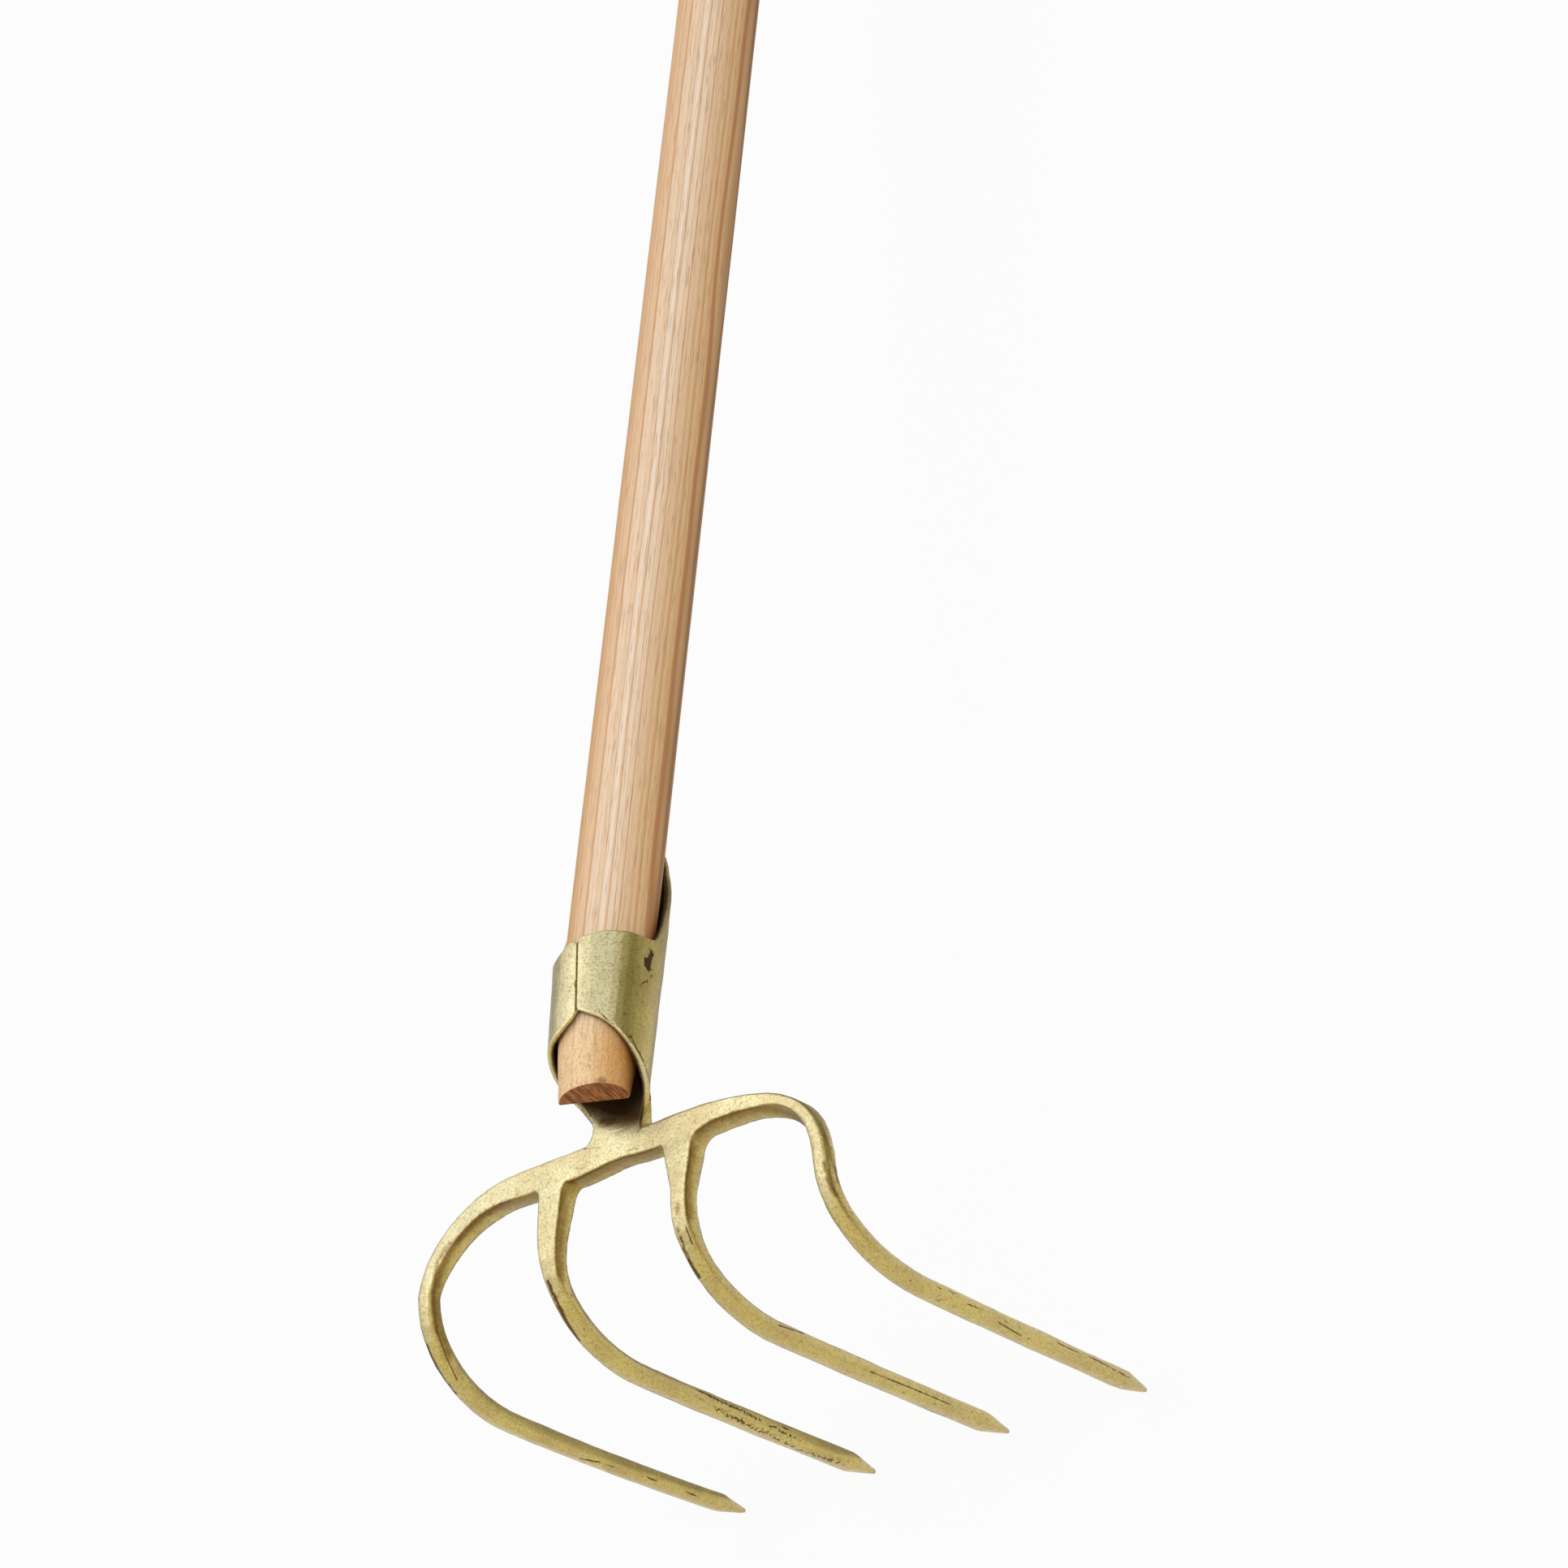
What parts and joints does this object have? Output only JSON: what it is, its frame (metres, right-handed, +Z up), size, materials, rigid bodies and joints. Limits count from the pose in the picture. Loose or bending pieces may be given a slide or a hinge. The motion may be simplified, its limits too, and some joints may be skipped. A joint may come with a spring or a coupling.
{
  "type": "manure drag",
  "caption": "Forged drag fork with hooked square tines, a rolled open socket with a tongue, and a long round ash handle, for pulling and raking manure.",
  "frame": {"origin": "middle of the bounding box's underside, on the ground that the tine tips and the handle's far end rest on", "axes": "+X across the tines, to the right when seen from the handle's far end towards the head, +Y from the head along the handle, +Z up"},
  "size_m": [0.2388, 1.4302, 0.2445],
  "materials": {
    "gold_lacquered_steel": "satin, thin gold lacquer over forging scale",
    "ash": "smooth, lightly waxed",
    "zinc_plated_steel": "dull plated"
  },
  "bodies": {
    "root": {"fork_head": "gold_lacquered_steel", "handle": "ash", "fixing_screw": "zinc_plated_steel"}
  },
  "joints": []
}
